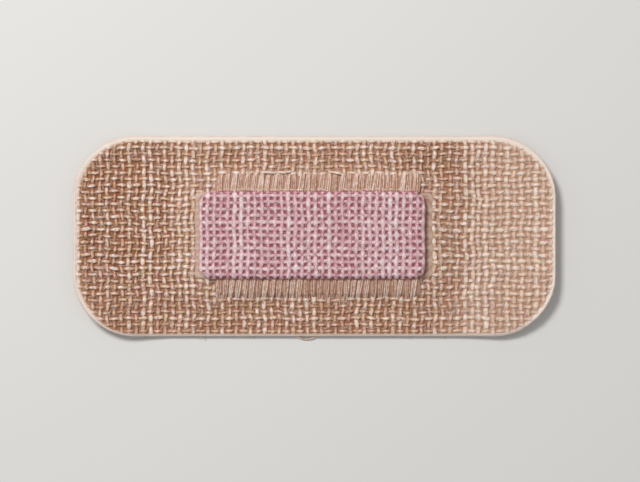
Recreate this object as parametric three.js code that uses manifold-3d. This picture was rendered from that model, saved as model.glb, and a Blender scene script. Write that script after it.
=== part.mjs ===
// A woven adhesive bandage, lying on its cloth back with the dressing side up.
// Millimetres, +Z up, X along the strip. The origin is on the surface, under the middle of the strip.
import * as THREE from "three";
import { mergeVertices } from "three/addons/utils/BufferGeometryUtils.js";
import Module from "manifold-3d";

const wasm = await Module();
wasm.setup();

// The cloth strip.
const STRIP_LENGTH = 60;
const STRIP_WIDTH = 25;
const STRIP_CORNER = 7.7;

// Its plain weave: warp yarns run across the strip, weft yarns run along it.
const WARP_PITCH = 0.89;
const WEFT_PITCH = 0.79;
const WARP_KNUCKLE = 0.625; // top of a warp yarn where it passes over a weft yarn
const WEFT_KNUCKLE = 0.5; // top of a weft yarn where it passes over a warp yarn
const WEAVE_VALLEY = 0.21875; // the gap between four crossings

// The cut edge, pressed flat and sealed with adhesive.
const RIM_WIDTH = 0.5;
const RIM_THICKNESS = 0.1875;

// The ends lift off the surface, the left one nearly straight and the right one in a curve.
const LEFT_CURL_LENGTH = 12;
const LEFT_CURL_RISE = 1.5;
const LEFT_CURL_POWER = 1.3;
const RIGHT_CURL_LENGTH = 13;
const RIGHT_CURL_RISE = 1.4;
const RIGHT_CURL_POWER = 1.8;

// The smooth adhesive bed under the dressing, and the cloth's gentle rise up to it.
const BED_LENGTH = 31.4;
const BED_WIDTH = 12.5;
const BED_CORNER = 3;
const BED_THICKNESS = 0.46875;
const BED_CLEARANCE = 0.05;
const RISE_HEIGHT = 0.375;
const RISE_LENGTH = 2.8;

// The dressing: a wadding core under a woven gauze facing, a little left of the middle.
const PAD_X = -0.3;
const PAD_Y = 0.1;
const PAD_LENGTH = 27.8;
const PAD_WIDTH = 10.6;
const PAD_CORNER = 0.7;
const CORE_HEIGHT = 0.5625;
const CORE_INSET = 0.8; // how far the core stays inside the facing's outline
const CORE_CLEARANCE = 0.1;
const CORE_CORNER = 0.6;
const GAUZE_WARP_PITCH = 0.84;
const GAUZE_WEFT_PITCH = 0.82;
const GAUZE_THICKNESS = 0.1875; // over the core, at the weave's valleys
const GAUZE_KNUCKLE = 0.375; // how far a knuckle stands above a valley
const GAUZE_CROSS_KNUCKLE = 0.3125;
const GAUZE_HEM = 0.375; // height of the facing at its outline, where it rolls down to the bed
const GAUZE_TRIM = 0.1; // the corner trim stands this far off the straight hems
const GAUZE_CROWN = 0.125;

// The loose threads of the facing's warp, which run on past both long edges of the dressing.
const BAND_LENGTH = 25;
const BAND_SHIFT = 0.6; // how far the bands sit to the right of the dressing's middle
const BAND_WIDTH = 2.65;
const BAND_THICKNESS = 0.0625; // between two threads
const THREAD_PITCH = 0.5;
const THREAD_HEIGHT = 0.1875;
const THREAD_LEAN = THREE.MathUtils.degToRad(7);
const BAND_GAP = 0.05; // between the facing's hem and a band
const BAND_LIFT = 0.0625; // between a band's outer edge and the knuckles under it

const BELOW = -2;
const ABOVE = 8;
const CORNER_SEGMENTS = 4;
const STATION_YARNS = 4; // the underside and the rim follow the curl in steps of this many yarns

const cloth = new THREE.MeshStandardMaterial({ color: 0xc9a78e, roughness: 0.85, metalness: 0 });
const adhesive = new THREE.MeshStandardMaterial({ color: 0xc4a393, roughness: 0.6, metalness: 0 });
const wadding = new THREE.MeshStandardMaterial({ color: 0xd9aeb2, roughness: 0.95, metalness: 0 });
const gauze = new THREE.MeshStandardMaterial({ color: 0xdcb1b5, roughness: 0.9, metalness: 0 });
const thread = new THREE.MeshStandardMaterial({ color: 0xd8bfae, roughness: 0.8, metalness: 0 });

// Height of the strip's underside: flat in the middle, and rising to both ends.
function curl(x) {
  const left = Math.max(0, (-x - STRIP_LENGTH / 2 + LEFT_CURL_LENGTH) / LEFT_CURL_LENGTH);
  const right = Math.max(0, (x - STRIP_LENGTH / 2 + RIGHT_CURL_LENGTH) / RIGHT_CURL_LENGTH);
  return LEFT_CURL_RISE * left ** LEFT_CURL_POWER + RIGHT_CURL_RISE * right ** RIGHT_CURL_POWER;
}

// How far the cloth has risen towards the adhesive bed: full at the bed's outline, none further off.
function rise(x, y) {
  const outX = Math.abs(x - PAD_X) - BED_LENGTH / 2 + BED_CORNER;
  const outY = Math.abs(y - PAD_Y) - BED_WIDTH / 2 + BED_CORNER;
  const distance = Math.hypot(Math.max(outX, 0), Math.max(outY, 0)) - BED_CORNER;
  return RISE_HEIGHT * (1 - THREE.MathUtils.smoothstep(distance, 0, RISE_LENGTH));
}

// Yarn lines at the given pitch, centred on zero, the outermost pair just past the length.
function yarnLines(length, pitch) {
  const half = Math.ceil(length / 2 / pitch);
  return Array.from({ length: 2 * half + 1 }, (_, i) => (i - half) * pitch);
}

// Yarn lines that stay inside the length, with its two ends added as hem lines.
function hemmedLines(length, pitch) {
  const inside = yarnLines(length, pitch).filter((at) => Math.abs(at) < length / 2 - pitch / 3);
  return [-length / 2, ...inside, length / 2];
}

// Some of the lines, evenly picked, the first and last among them.
function thinned(lines, step) {
  return lines.filter((_, i) => i % step === 0 || i === lines.length - 1);
}

// A closed body between a top surface on one grid and an underside on another.
// The two grids share their outer rectangle. middle, if given, is the height at each cell's centre.
function gridSolid({ xs, ys, top, middle, underXs, underYs, under }) {
  const points = [];
  const faces = [];
  const addPoint = (x, y, z) => points.push([x, y, z]) - 1;
  const lay = (gx, gy, height) => gx.map((x, i) => gy.map((y, j) => addPoint(x, y, height(x, y, i, j))));
  const upper = lay(xs, ys, top);
  const lower = lay(underXs, underYs, under);
  for (let i = 0; i + 1 < xs.length; i++) {
    for (let j = 0; j + 1 < ys.length; j++) {
      const ring = [upper[i][j], upper[i + 1][j], upper[i + 1][j + 1], upper[i][j + 1]];
      if (middle) {
        const x = (xs[i] + xs[i + 1]) / 2;
        const y = (ys[j] + ys[j + 1]) / 2;
        const hub = addPoint(x, y, middle(x, y, i, j));
        ring.forEach((a, k) => faces.push([a, ring[(k + 1) % 4], hub]));
      } else {
        faces.push([ring[0], ring[1], ring[2]], [ring[0], ring[2], ring[3]]);
      }
    }
  }
  for (let i = 0; i + 1 < underXs.length; i++) {
    for (let j = 0; j + 1 < underYs.length; j++) {
      const ring = [lower[i][j], lower[i][j + 1], lower[i + 1][j + 1], lower[i + 1][j]];
      faces.push([ring[0], ring[1], ring[2]], [ring[0], ring[2], ring[3]]);
    }
  }
  // A wall between two rows of points that run the same way, the body on their left.
  const wall = (high, low, axis) => {
    let h = 0;
    let l = 0;
    const sign = points[high.at(-1)][axis] > points[high[0]][axis] ? 1 : -1;
    while (h + 1 < high.length || l + 1 < low.length) {
      const nextHigh = h + 1 < high.length ? sign * points[high[h + 1]][axis] : Infinity;
      const nextLow = l + 1 < low.length ? sign * points[low[l + 1]][axis] : Infinity;
      if (nextHigh <= nextLow) {
        faces.push([high[h], low[l], high[h + 1]]);
        h++;
      } else {
        faces.push([high[h], low[l], low[l + 1]]);
        l++;
      }
    }
  };
  const front = (grid) => grid.map((row) => row[0]);
  const back = (grid) => grid.map((row) => row.at(-1)).reverse();
  wall(front(upper), front(lower), 0);
  wall(upper.at(-1), lower.at(-1), 1);
  wall(back(upper), back(lower), 0);
  wall([...upper[0]].reverse(), [...lower[0]].reverse(), 1);
  const geometry = new THREE.BufferGeometry();
  geometry.setAttribute("position", new THREE.Float32BufferAttribute(points.flat(), 3));
  geometry.setIndex(faces.flat());
  return geometry;
}

// An upright prism on a rectangle with round corners, centred on (x, y).
function prism(length, width, corner, bottom, height, x = 0, y = 0) {
  const right = length / 2 - corner;
  const far = width / 2 - corner;
  const outline = new THREE.Shape();
  outline.absarc(right, far, corner, 0, Math.PI / 2);
  outline.absarc(-right, far, corner, Math.PI / 2, Math.PI);
  outline.absarc(-right, -far, corner, Math.PI, Math.PI * 1.5);
  outline.absarc(right, -far, corner, Math.PI * 1.5, Math.PI * 2);
  const extruded = { depth: height, bevelEnabled: false, curveSegments: CORNER_SEGMENTS };
  return new THREE.ExtrudeGeometry(outline, extruded).translate(x, y, bottom);
}

// A closed geometry as a solid that can be joined and cut.
function solidOf(geometry) {
  const bare = geometry.clone();
  bare.deleteAttribute("normal");
  bare.deleteAttribute("uv");
  const merged = mergeVertices(bare, 1e-5);
  return new wasm.Manifold(
    new wasm.Mesh({
      numProp: 3,
      vertProperties: merged.attributes.position.array,
      triVerts: new Uint32Array(merged.index.array),
    }),
  );
}

function geometryOf(solid) {
  const { vertProperties, triVerts } = solid.getMesh();
  const geometry = new THREE.BufferGeometry();
  geometry.setAttribute("position", new THREE.BufferAttribute(vertProperties, 3));
  geometry.setIndex(new THREE.BufferAttribute(triVerts, 1));
  geometry.computeVertexNormals();
  return geometry;
}

function piece(name, geometry, material) {
  const mesh = new THREE.Mesh(geometry, material);
  mesh.name = name;
  return mesh;
}

// The woven strip: knuckles of warp and weft in turn, pits at the gaps, a pressed rim,
// and a flat seat for the adhesive bed.
function makeCloth() {
  const xs = yarnLines(STRIP_LENGTH + WARP_PITCH, WARP_PITCH);
  const ys = yarnLines(STRIP_WIDTH + WEFT_PITCH, WEFT_PITCH);
  const ends = [ys[0], ys.at(-1)];
  const stations = thinned(xs, STATION_YARNS);
  const lifted = (x, y) => curl(x) + rise(x, y);
  const woven = gridSolid({
    xs,
    ys,
    top: (x, y, i, j) => lifted(x, y) + ((i + j) % 2 ? WEFT_KNUCKLE : WARP_KNUCKLE),
    middle: (x, y) => lifted(x, y) + WEAVE_VALLEY,
    underXs: stations,
    underYs: ends,
    under: (x) => curl(x),
  });
  const overRim = gridSolid({
    xs: stations,
    ys: ends,
    top: () => ABOVE,
    underXs: stations,
    underYs: ends,
    under: (x) => curl(x) + RIM_THICKNESS,
  });
  const outline = prism(STRIP_LENGTH, STRIP_WIDTH, STRIP_CORNER, BELOW, ABOVE - BELOW);
  const insideRim = prism(
    STRIP_LENGTH - 2 * RIM_WIDTH,
    STRIP_WIDTH - 2 * RIM_WIDTH,
    STRIP_CORNER - RIM_WIDTH,
    BELOW,
    2 * ABOVE,
  );
  const seat = prism(
    BED_LENGTH + 2 * BED_CLEARANCE,
    BED_WIDTH + 2 * BED_CLEARANCE,
    BED_CORNER + BED_CLEARANCE,
    WEAVE_VALLEY + RISE_HEIGHT,
    ABOVE,
    PAD_X,
    PAD_Y,
  );
  const rimCut = solidOf(overRim).subtract(solidOf(insideRim));
  return geometryOf(solidOf(woven).intersect(solidOf(outline)).subtract(rimCut).subtract(solidOf(seat)));
}

// The gauze facing: a woven cap with rolled hems and a pocket underneath for the core.
function makeGauze() {
  const xs = hemmedLines(PAD_LENGTH, GAUZE_WARP_PITCH);
  const ys = hemmedLines(PAD_WIDTH, GAUZE_WEFT_PITCH);
  const corners = { xs: [xs[0], xs.at(-1)], ys: [ys[0], ys.at(-1)] };
  const valley = (x, y) => {
    const bulge = (1 - (2 * x / PAD_LENGTH) ** 2) * (1 - (2 * y / PAD_WIDTH) ** 2);
    return CORE_HEIGHT + GAUZE_THICKNESS + GAUZE_CROWN * bulge;
  };
  const knuckle = (i, j) => ((i + j) % 2 ? GAUZE_CROSS_KNUCKLE : GAUZE_KNUCKLE);
  const atHem = (i, j) => i === 0 || j === 0 || i === xs.length - 1 || j === ys.length - 1;
  const cap = gridSolid({
    xs,
    ys,
    top: (x, y, i, j) => (atHem(i, j) ? GAUZE_HEM : valley(x, y) + knuckle(i, j)),
    middle: (x, y, i, j) => {
      const inHem = i === 0 || j === 0 || i === xs.length - 2 || j === ys.length - 2;
      return inHem ? (GAUZE_HEM + valley(x, y)) / 2 : valley(x, y);
    },
    underXs: corners.xs,
    underYs: corners.ys,
    under: () => 0,
  });
  const trimGrowth = 2 * GAUZE_TRIM;
  const outline = prism(
    PAD_LENGTH + trimGrowth,
    PAD_WIDTH + trimGrowth,
    PAD_CORNER + GAUZE_TRIM,
    BELOW,
    ABOVE - BELOW,
  );
  const pocketGrowth = 2 * (CORE_CLEARANCE - CORE_INSET);
  const pocket = prism(
    PAD_LENGTH + pocketGrowth,
    PAD_WIDTH + pocketGrowth,
    CORE_CORNER + CORE_CLEARANCE,
    BELOW,
    CORE_HEIGHT - BELOW,
  );
  return geometryOf(solidOf(cap).intersect(solidOf(outline)).subtract(solidOf(pocket)));
}

function makeCore() {
  return prism(PAD_LENGTH - 2 * CORE_INSET, PAD_WIDTH - 2 * CORE_INSET, CORE_CORNER, 0, CORE_HEIGHT);
}

// One band of loose threads, on the side of the dressing that side gives, 1 for the far one and -1
// for the near one. It lies flat on the bed, and then slopes down the cloth's rise.
function makeBand(side) {
  const inner = PAD_WIDTH / 2 + BAND_GAP;
  const outer = inner + BAND_WIDTH;
  const xs = yarnLines(BAND_LENGTH, THREAD_PITCH / 2);
  const bedEdge = BED_WIDTH / 2;
  const outerDrop = BED_THICKNESS + WEAVE_VALLEY + RISE_HEIGHT
    - WARP_KNUCKLE - rise(PAD_X, PAD_Y + outer) - BAND_LIFT;
  const under = (y) => Math.min(0, (-outerDrop * (Math.abs(y) - bedEdge)) / (outer - bedEdge));
  const rows = [inner, bedEdge, outer].map((y) => side * y).sort((a, b) => a - b);
  const band = gridSolid({
    xs,
    ys: rows,
    top: (x, y, i) => under(y) + BAND_THICKNESS + (i % 2 ? THREAD_HEIGHT : 0),
    underXs: [xs[0], xs.at(-1)],
    underYs: rows,
    under: (x, y) => under(y),
  });
  const place = band.attributes.position;
  for (let i = 0; i < place.count; i++) {
    place.setX(i, place.getX(i) + Math.tan(THREAD_LEAN) * (place.getY(i) - side * inner));
  }
  return band;
}

// The dressing stands on the bed, and the bed on the seat pressed into the cloth.
const bandage = new THREE.Group();
bandage.add(piece("backing_cloth", makeCloth(), cloth));

const dressing = new THREE.Group();
dressing.position.set(PAD_X, PAD_Y, WEAVE_VALLEY + RISE_HEIGHT);
dressing.add(piece("adhesive_bed", prism(BED_LENGTH, BED_WIDTH, BED_CORNER, 0, BED_THICKNESS), adhesive));

const onBed = new THREE.Group();
onBed.position.z = BED_THICKNESS;
onBed.add(piece("absorbent_pad", makeCore(), wadding));
onBed.add(piece("pad_gauze", makeGauze(), gauze));
for (const [name, side] of [["upper_thread_band", 1], ["lower_thread_band", -1]]) {
  const band = piece(name, makeBand(side), thread);
  band.position.x = BAND_SHIFT;
  onBed.add(band);
}
dressing.add(onBed);
bandage.add(dressing);

export default bandage;
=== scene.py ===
import math

import bpy
import numpy as np
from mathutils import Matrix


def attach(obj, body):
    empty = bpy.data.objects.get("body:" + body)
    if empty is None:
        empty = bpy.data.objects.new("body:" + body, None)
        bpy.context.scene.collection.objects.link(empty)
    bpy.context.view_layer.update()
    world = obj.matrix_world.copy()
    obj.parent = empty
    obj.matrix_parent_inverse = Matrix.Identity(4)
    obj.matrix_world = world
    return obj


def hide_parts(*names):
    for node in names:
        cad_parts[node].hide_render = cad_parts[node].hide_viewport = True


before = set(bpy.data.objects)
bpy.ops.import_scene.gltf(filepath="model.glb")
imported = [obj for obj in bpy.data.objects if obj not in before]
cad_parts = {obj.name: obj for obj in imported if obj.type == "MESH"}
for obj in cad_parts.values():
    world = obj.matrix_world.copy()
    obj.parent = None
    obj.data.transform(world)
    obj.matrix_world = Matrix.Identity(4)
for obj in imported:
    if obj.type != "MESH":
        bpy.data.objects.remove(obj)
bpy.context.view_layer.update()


# The backing cloth's yarns: spun cotton in plain weave, the warp across the strip and the weft along it.
# Each yarn goes over one neighbour and under the next, so the face shows rows of short bright grains.
# The cloth lies flat in the middle, lifts at both ends, and rises a little round the adhesive bed.
STRIP_LENGTH, STRIP_WIDTH, STRIP_CORNER = 60.0, 25.0, 7.7
WARP_PITCH, WEFT_PITCH = 0.89, 0.79
CLOTH_MIDDLE = 0.39
# The yarns' numbers are kept this far apart, so that neighbours get unlike noise
NUMBER_STEP = 3.7
LEFT_LIFT, RIGHT_LIFT, BED_LIFT = 1.5, 1.4, 0.375
BED_LENGTH, BED_WIDTH, BED_CORNER = 31.4, 12.5, 3.0
POCKET_LENGTH, POCKET_WIDTH, POCKET_CORNER, POCKET_X = 29.6, 10.5, 0.4, -0.16
BANDS_LENGTH, BANDS_WIDTH, BANDS_CORNER, BANDS_X = 25.2, 15.6, 0.5, 0.3
PAD_X, PAD_Y = -0.3, 0.1


def linear(code):
    """A colour written as six hex digits, as Blender's linear one."""
    parts = (int(code[i:i + 2], 16) / 255 for i in (0, 2, 4))
    return (*(p / 12.92 if p <= 0.04045 else ((p + 0.055) / 1.055) ** 2.4 for p in parts), 1)


def fill(tree, node, inputs):
    """Gives inputs, by name or number, each a value, a socket or a node whose first output it takes."""
    for key, value in inputs.items():
        socket = next(s for i, s in enumerate(node.inputs) if s.enabled and key in (i, s.name))
        if isinstance(value, bpy.types.Node):
            value = next(s for s in value.outputs if s.enabled)
        if isinstance(value, bpy.types.NodeSocket):
            tree.links.new(value, socket)
        else:
            socket.default_value = value


def add(tree, kind, inputs=None, **settings):
    """Adds a node with its settings, and fills its inputs."""
    node = tree.nodes.new(kind)
    for name, value in settings.items():
        setattr(node, name, value)
    fill(tree, node, inputs or {})
    return node


def tree_of(name, makes, **kinds):
    """A new node tree with its inputs, each of a kind, and one output, and the sockets of its inputs."""
    tree = bpy.data.node_groups.new(name, "GeometryNodeTree")
    for label, kind in kinds.items():
        label = label.replace("_", " ").capitalize()
        tree.interface.new_socket(label, in_out="INPUT", socket_type="NodeSocket" + kind)
    tree.interface.new_socket(makes, in_out="OUTPUT", socket_type="NodeSocketGeometry")
    return tree, add(tree, "NodeGroupInput").outputs


def put(name, data):
    """A new object in the scene."""
    piece = bpy.data.objects.new(name, data)
    bpy.context.scene.collection.objects.link(piece)
    return piece


def grown(name, tree, **sizes):
    """A plain mesh of what a node tree makes with these sizes, in millimetres."""
    piece = put(name, bpy.data.meshes.new(name))
    modifier = piece.modifiers.new("Nodes", "NODES")
    modifier.node_group = tree
    for socket in tree.interface.items_tree:
        if socket.in_out == "INPUT":
            modifier[socket.identifier] = sizes[socket.name.replace(" ", "_").lower()]
    made = bpy.data.meshes.new_from_object(piece.evaluated_get(bpy.context.evaluated_depsgraph_get()))
    piece.modifiers.remove(modifier)
    piece.data = made
    return piece


def points_of(piece):
    """The mesh's points as rows of x, y and z."""
    points = np.empty(3 * len(piece.data.vertices), np.float32)
    piece.data.vertices.foreach_get("co", points)
    return points.reshape(-1, 3).astype(float)


def set_points(piece, points, **marks):
    """Puts the points, in millimetres, in their place in metres, and keeps each mark as an attribute."""
    piece.data.vertices.foreach_set("co", (points * 0.001).astype(np.float32).ravel())
    for name, values in marks.items():
        mark = piece.data.attributes.new(name, "FLOAT", "POINT")
        mark.data.foreach_set("value", values.astype(np.float32))
    piece.data.update()
    return piece


def fibre_of(piece):
    """Where each point is along its yarn and beside its middle, and the yarn's number times NUMBER_STEP."""
    marks = np.empty(3 * len(piece.data.vertices), np.float32)
    piece.data.attributes["fibre"].data.foreach_get("vector", marks)
    return marks.reshape(-1, 3)


def smoothstep(value, low, high):
    t = np.clip((value - low) / (high - low), 0, 1)
    return t * t * (3 - 2 * t)


def beyond(x, y, length, width, corner):
    """How far a point is outside an outline with round corners, and less than nothing inside it."""
    out_x = np.abs(x) - length / 2 + corner
    out_y = np.abs(y) - width / 2 + corner
    return np.hypot(np.maximum(out_x, 0), np.maximum(out_y, 0)) - corner


def lift(x, y):
    """How far the cloth stands off the table here."""
    left = np.maximum(0, (-x - STRIP_LENGTH / 2 + 12) / 12)
    right = np.maximum(0, (x - STRIP_LENGTH / 2 + 13) / 13)
    off_bed = beyond(x - PAD_X, y - PAD_Y, BED_LENGTH, BED_WIDTH, BED_CORNER)
    return LEFT_LIFT * left ** 1.3 + RIGHT_LIFT * right ** 1.8 + BED_LIFT * (1 - smoothstep(off_bed, 0, 2.8))


def laid(piece, middle, turned=False, risen=0.0, flat=None):
    """Lays a flat piece in the cloth, swollen where adhesive soaks it and flatter where it is pressed."""
    points = points_of(piece) if flat is None else flat
    x, y = (-points[:, 1], points[:, 0]) if turned else (points[:, 0], points[:, 1])
    off_bed = beyond(x - PAD_X, y - PAD_Y, BED_LENGTH, BED_WIDTH, BED_CORNER)
    off_edge = -beyond(x, y, STRIP_LENGTH, STRIP_WIDTH, STRIP_CORNER)
    # The pressed rim is narrower along the lower side and at the right end
    narrow = np.maximum(smoothstep(-y, 9, 11.5), 0.6 * smoothstep(x, 26, 29))
    rim = 1 - smoothstep(off_edge, 0.3 - 0.15 * narrow, 1.1 - 0.6 * narrow)
    # Adhesive fills the gaps round the bed and some below the pad, and at the right end, where its paler colour
    # is partly painted light on the end that lifts toward the lamp. Above the pad the mark is only painted
    # light: paler cloth, as if lit more from above, which also swells the yarns and raises the adhesive a
    # little.
    right_end_fill_and_light = smoothstep(x - 0.1 * y, 13, 24)
    round_bed = 0.4 * (1 - smoothstep(off_bed, 0.2, 3.0))
    above = 0.3 * smoothstep(y, 4, 9) * smoothstep(x, -24, -14) * (1 - smoothstep(x, 8, 14))
    below = 0.2 * smoothstep(-y, 4, 9)
    filled = np.clip(np.maximum(right_end_fill_and_light + round_bed + above + below, 0.9 * rim), 0, 1)
    if "fibre" in piece.data.attributes:
        swell = 0.28 * filled * fibre_of(piece)[:, 1]
        x, y = (x - swell, y) if turned else (x, y + swell)
    # The bed's pocket and the thread bands press the cloth flatter, as the rim does
    off_bands = beyond(x - BANDS_X, y - PAD_Y, BANDS_LENGTH, BANDS_WIDTH, BANDS_CORNER)
    off_pocket = beyond(x - POCKET_X, y - PAD_Y, POCKET_LENGTH, POCKET_WIDTH, POCKET_CORNER)
    covered = 1 - smoothstep(np.minimum(off_bands, off_pocket), -0.3, 0.1)
    thinned = 1 - 0.45 * np.maximum(0.9 * rim, covered)
    off_middle = middle - CLOTH_MIDDLE + points[:, 2]
    z = CLOTH_MIDDLE + off_middle * thinned + risen * (filled + 1.5 * rim) + lift(x, y)
    # Away from the edge the yarns wander a little, all together
    inward = smoothstep(off_edge, 0.4, 2.0)
    x = x + inward * (0.09 * np.sin(0.83 * y + 0.21 * x) + 0.07 * np.sin(1.9 * y - 0.4 * x + 1))
    y = y + inward * (0.08 * np.sin(0.47 * x - 0.3 * y + 2) + 0.06 * np.sin(1.3 * x + 0.5 * y))
    return set_points(piece, np.stack([x, y, z], 1), filled=filled + 1.1 * rim)


def outside(tree, place, length, width, corner):
    """Whether a place in the tree is outside an outline with round corners."""
    reach = []
    for axis, side in (("X", length), ("Y", width)):
        far = add(tree, "ShaderNodeMath", {0: place[axis]}, operation="ABSOLUTE")
        edge = add(tree, "ShaderNodeMath", {0: side, 1: -0.5, 2: corner}, operation="MULTIPLY_ADD")
        far = add(tree, "ShaderNodeMath", {0: far, 1: edge}, operation="ADD")
        reach.append(add(tree, "ShaderNodeMath", {0: far, 1: 0.0}, operation="MAXIMUM"))
    past = add(tree, "ShaderNodeCombineXYZ", {"X": reach[0], "Y": reach[1]})
    off = add(tree, "ShaderNodeVectorMath", {0: past}, operation="LENGTH").outputs["Value"]
    return add(tree, "ShaderNodeMath", {0: off, 1: corner}, operation="GREATER_THAN")


yarns, given = tree_of(
    "Yarns side by side", "Net", yarns="Int", pitch="Float", crossings="Int", crossing_pitch="Float",
    half_width="Float", half_height="Float", crimp="Float", first_over="Float", knuckle="Float", wander="Float",
    unevenness="Float", cut_length="Float", cut_width="Float", cut_corner="Float", seed="Int", yarn="Material")

# One straight line for each yarn, numbered from the middle one
first = add(yarns, "ShaderNodeMath", {0: given["Yarns"], 1: -0.5, 2: 0.5}, operation="MULTIPLY_ADD")
number = add(yarns, "ShaderNodeMath", {0: add(yarns, "GeometryNodeInputIndex"), 1: first}, operation="ADD")
across = add(yarns, "ShaderNodeMath", {0: number, 1: given["Pitch"]}, operation="MULTIPLY")
starts = add(yarns, "ShaderNodeCombineXYZ", {"Y": across})
starts = add(yarns, "GeometryNodePoints", {"Count": given["Yarns"], "Position": starts})
starts = add(yarns, "GeometryNodeStoreNamedAttribute", {"Geometry": starts, "Name": "yarn", "Value": number})
whole = {0: given["Crossings"], 1: given["Crossing pitch"]}
whole = add(yarns, "ShaderNodeMath", whole, operation="MULTIPLY")
left = add(yarns, "ShaderNodeMath", {0: whole, 1: -0.5}, operation="MULTIPLY")
left = add(yarns, "ShaderNodeCombineXYZ", {"X": left})
right = add(yarns, "ShaderNodeMath", {0: whole, 1: 0.5}, operation="MULTIPLY")
right = add(yarns, "ShaderNodeCombineXYZ", {"X": right})
line = add(yarns, "GeometryNodeCurvePrimitiveLine", {"Start": left, "End": right})
steps = add(yarns, "ShaderNodeMath", {0: given["Crossings"], 1: 4.0, 2: 1.0}, operation="MULTIPLY_ADD")
line = add(yarns, "GeometryNodeResampleCurve", {"Curve": line, "Count": steps})
lines = add(yarns, "GeometryNodeInstanceOnPoints", {"Points": starts, "Instance": line})
lines = add(yarns, "GeometryNodeRealizeInstances", {"Geometry": lines})

# The wave over and under, with hand-sized unevenness in place and thickness
yarn, axis, heart, swell = (add(yarns, "GeometryNodeInputNamedAttribute", {"Name": name})
                            for name in ("yarn", "line", "height", "thick"))
place = add(yarns, "ShaderNodeSeparateXYZ", {"Vector": add(yarns, "GeometryNodeInputPosition")}).outputs
crossing = add(yarns, "ShaderNodeMath", {0: place["X"], 1: given["Crossing pitch"]}, operation="DIVIDE")
crossing = add(yarns, "ShaderNodeMath", {0: crossing, 1: yarn}, operation="ADD")
crossing = add(yarns, "ShaderNodeMath", {0: crossing, 1: given["First over"]}, operation="ADD")
turn = add(yarns, "ShaderNodeMath", {0: crossing, 1: math.pi}, operation="MULTIPLY")
over = add(yarns, "ShaderNodeMath", {0: turn}, operation="COSINE")
seeded = add(yarns, "ShaderNodeMath", {0: given["Seed"], 1: 7.31}, operation="MULTIPLY")
spread = add(yarns, "ShaderNodeMath", {0: yarn, 1: NUMBER_STEP}, operation="MULTIPLY")
spot = add(yarns, "ShaderNodeCombineXYZ", {"X": place["X"], "Y": spread, "Z": seeded})
drift = add(yarns, "ShaderNodeTexNoise", {"Vector": spot, "Scale": 0.5, "Detail": 4.0, "Roughness": 0.7})
both_ways = {"From Min": 0.25, "From Max": 0.75, "To Min": -1.0, "To Max": 1.0}
drift = add(yarns, "ShaderNodeMapRange", {"Value": drift, **both_ways}, clamp=False)
aside = add(yarns, "ShaderNodeMath", {0: drift, 1: given["Wander"], 2: place["Y"]}, operation="MULTIPLY_ADD")
lumps = add(yarns, "ShaderNodeTexNoise", {"Vector": spot, "Scale": 1.5, "Detail": 3.0})
lumps = add(yarns, "ShaderNodeMapRange", {"Value": lumps, **both_ways}, clamp=False)
own = add(yarns, "FunctionNodeRandomValue", {"Min": -0.8, "Max": 0.8, "ID": yarn, "Seed": given["Seed"]})
uneven = add(yarns, "ShaderNodeMath", {0: lumps, 1: own}, operation="ADD")
thick = add(yarns, "ShaderNodeMath", {0: uneven, 1: given["Unevenness"], 2: 1.0}, operation="MULTIPLY_ADD")
thick = add(yarns, "ShaderNodeMath", {0: over, 1: given["Knuckle"], 2: thick}, operation="MULTIPLY_ADD")
height = add(yarns, "ShaderNodeMath", {0: over, 1: given["Crimp"]}, operation="MULTIPLY")
for name, value in (("line", aside), ("height", height), ("thick", thick)):
    lines = add(yarns, "GeometryNodeStoreNamedAttribute", {"Geometry": lines, "Name": name, "Value": value})
flat = add(yarns, "ShaderNodeCombineXYZ", {"X": place["X"], "Y": aside, "Z": height})
lines = add(yarns, "GeometryNodeSetPosition", {"Geometry": lines, "Position": flat})

# The ends are cut off along the outline
off = outside(yarns, place, given["Cut length"], given["Cut width"], given["Cut corner"])
lines = add(yarns, "GeometryNodeDeleteGeometry", {"Geometry": lines, "Selection": off}, domain="POINT")

# The body of each yarn, with where each point is along and across it, and the yarn's own tone
lines = add(yarns, "GeometryNodeSetCurveNormal", {"Curve": lines}, mode="Z_UP")
ring = add(yarns, "GeometryNodeCurvePrimitiveCircle", {"Resolution": 8, "Radius": 1.0})
oval = add(yarns, "ShaderNodeCombineXYZ", {"X": given["Half width"], "Y": given["Half height"], "Z": 1.0})
ring = add(yarns, "GeometryNodeTransform", {"Geometry": ring, "Scale": oval})
net = {"Curve": lines, "Profile Curve": ring, "Scale": swell, "Fill Caps": True}
net = add(yarns, "GeometryNodeCurveToMesh", net)
beside = add(yarns, "ShaderNodeMath", {0: place["Y"], 1: axis}, operation="SUBTRACT")
fibre = add(yarns, "ShaderNodeCombineXYZ", {"X": place["X"], "Y": beside, "Z": spread})
tone = add(yarns, "FunctionNodeRandomValue", {"Min": 0.0, "Max": 1.0, "ID": yarn, "Seed": seeded})
# The crest is how far out a point is on its own yarn and in the whole weave, on either face. The yarn materials
# paint their highlights and shade by it.
own = add(yarns, "ShaderNodeMath", {0: place["Z"], 1: heart}, operation="SUBTRACT")
own = add(yarns, "ShaderNodeMath", {0: own, 1: given["Half height"]}, operation="DIVIDE")
own = add(yarns, "ShaderNodeMath", {0: own}, operation="ABSOLUTE")
whole = add(yarns, "ShaderNodeMath", {0: given["Half height"], 1: given["Crimp"]}, operation="ADD")
whole = add(yarns, "ShaderNodeMath", {0: place["Z"], 1: whole}, operation="DIVIDE")
whole = add(yarns, "ShaderNodeMath", {0: whole}, operation="ABSOLUTE")
crest = add(yarns, "ShaderNodeMath", {0: own, 1: whole}, operation="ADD")
crest = add(yarns, "ShaderNodeMath", {0: crest, 1: 0.5}, operation="MULTIPLY")
for name, value, kind in (("crest", crest, "FLOAT"), ("fibre", fibre, "FLOAT_VECTOR"), ("tone", tone, "FLOAT")):
    net = add(yarns, "GeometryNodeStoreNamedAttribute", {
        "Geometry": net, "Name": name, "Value": value}, data_type=kind)
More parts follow.
